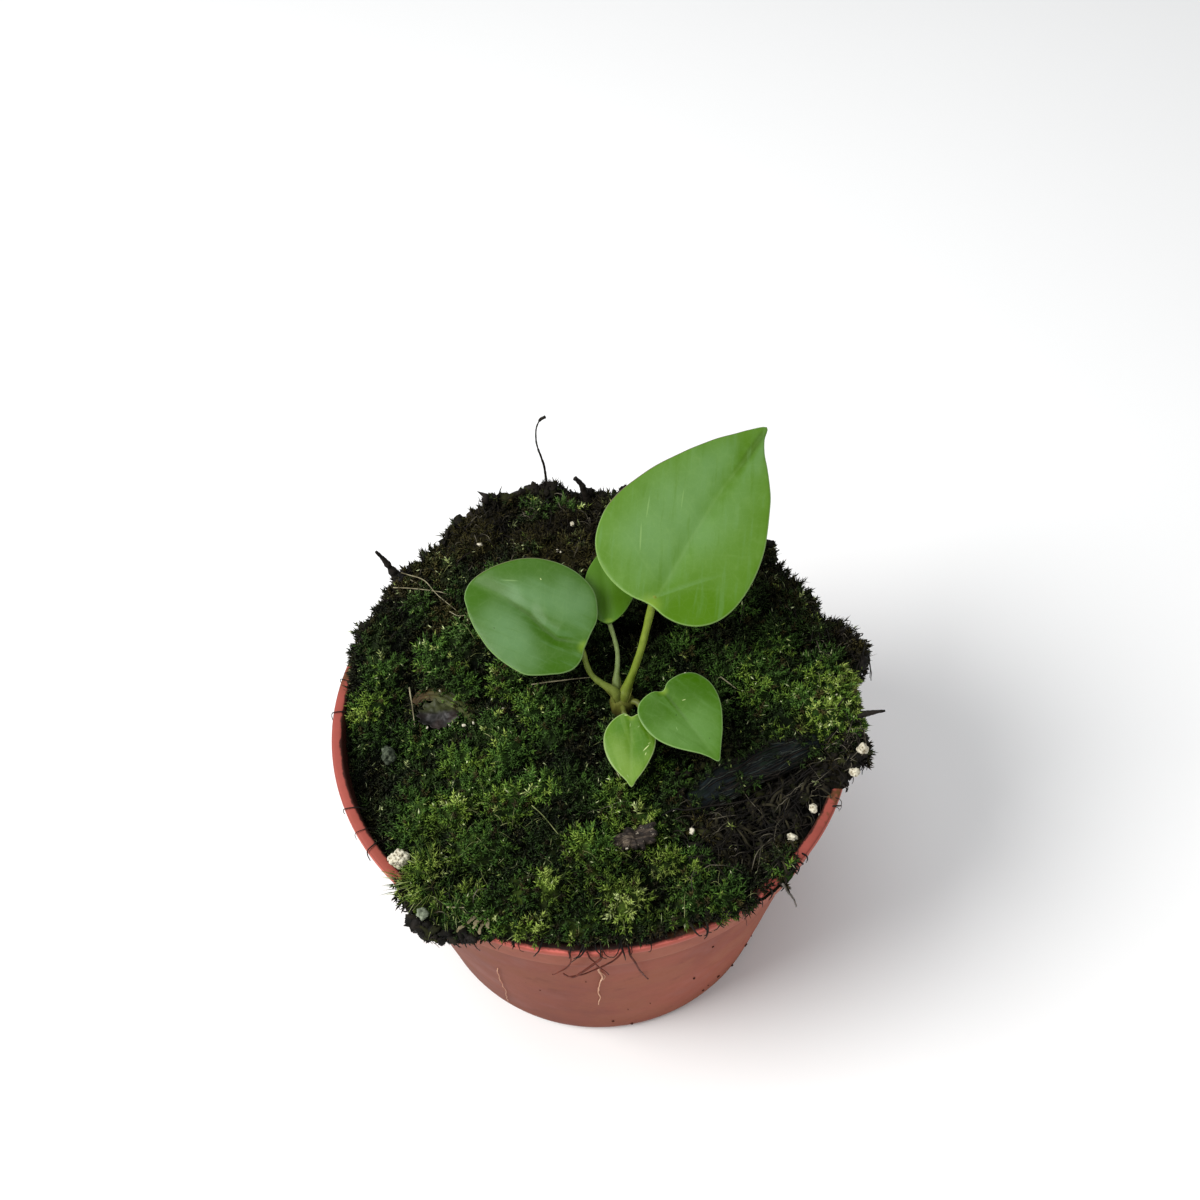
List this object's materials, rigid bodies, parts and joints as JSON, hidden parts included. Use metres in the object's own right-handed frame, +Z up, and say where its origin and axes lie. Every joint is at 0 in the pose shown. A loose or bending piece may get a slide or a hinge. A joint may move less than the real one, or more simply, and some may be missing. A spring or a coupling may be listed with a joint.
{
  "type": "potted anthurium seedling",
  "caption": "Young anthurium with glossy heart-shaped leaves on short stalks, growing from a moss carpet in a round terracotta-coloured plastic nursery pot.",
  "frame": {"origin": "centre of the pot's underside, on the surface that the pot stands on", "axes": "+Z up; -Y towards the side with the overhanging moss and the two small front leaves; +X towards the right of that view"},
  "size_m": [0.0944, 0.0934, 0.0921],
  "materials": {
    "pot_plastic": "terracotta-coloured moulded plastic, matt, with dust, scuffs and specks of soil",
    "potting_mix": "damp dark peat and bark mix",
    "crown": "olive brown, fibrous",
    "leaf": "smooth waxy green, half gloss, paler veins and edge",
    "leaf_young": "smooth waxy yellow-green, glossy",
    "stalk": "smooth olive green, satin",
    "moss": "dense dark green moss",
    "moss_bright": "dense yellow-green moss",
    "moss_dead": "brown and black dead moss with a few green shoots",
    "litter": "tangled dead roots on dark soil",
    "perlite": "rough, chalky, off-white",
    "grit": "rough grey",
    "bark": "rough dark brown bark",
    "charred_bark": "charred, streaked blue-black with a slight shine",
    "dead_leaf": "dry brown-red leaf piece",
    "straw": "dry pale stem",
    "dark_root": "dry dark brown root or stem",
    "pale_root": "thin pale root dried onto the plastic"
  },
  "bodies": {
    "root": {"bark_chip": "bark", "charred_bark_lump": "charred_bark", "crown_with_roots": "crown", "dark_stem_back": "dark_root", "fallen_leaf_piece": "dead_leaf", "grit_front_left": "grit", "grit_left": "grit", "hanging_root_front_long": "dark_root", "hanging_root_front_right": "dark_root", "hanging_root_front_short": "dark_root", "leaf_front_right_heart": "leaf", "leaf_front_young": "leaf_young", "leaf_left_round": "leaf", "leaf_rear_large": "leaf", "leaf_rear_small": "leaf", "moss_back": "moss_dead", "moss_back_left": "moss", "moss_back_right": "moss_dead", "moss_front": "moss_bright", "moss_front_left": "moss_bright", "moss_front_right": "moss", "moss_left": "moss", "moss_middle_front": "moss_bright", "moss_middle_left": "moss", "moss_right_mound": "moss_bright", "moss_round_crown": "moss", "perlite_back": "perlite", "perlite_back_left": "perlite", "perlite_front_left": "perlite", "perlite_middle_front": "perlite", "perlite_right_edge_lower": "perlite", "perlite_right_edge_upper": "perlite", "perlite_right_front": "perlite", "perlite_right_inner": "perlite", "pot": "pot_plastic", "potting_mix": "potting_mix", "root_across_middle": "dark_root", "root_litter_right_front": "litter", "root_on_wall_front": "pale_root", "stalk_front_right_heart": "stalk", "stalk_front_young": "stalk", "stalk_left_round": "stalk", "stalk_rear_large": "stalk", "stalk_rear_small": "stalk", "straw_back_left_arched": "straw", "straw_back_left_long": "straw", "straw_by_crown": "straw", "straw_front": "straw", "straw_front_left": "straw", "straw_left_pale": "straw", "straw_right": "straw", "twig_right_edge": "dark_root", "twig_spike_left": "dark_root", "twig_stub_back": "dark_root"}
  },
  "joints": []
}
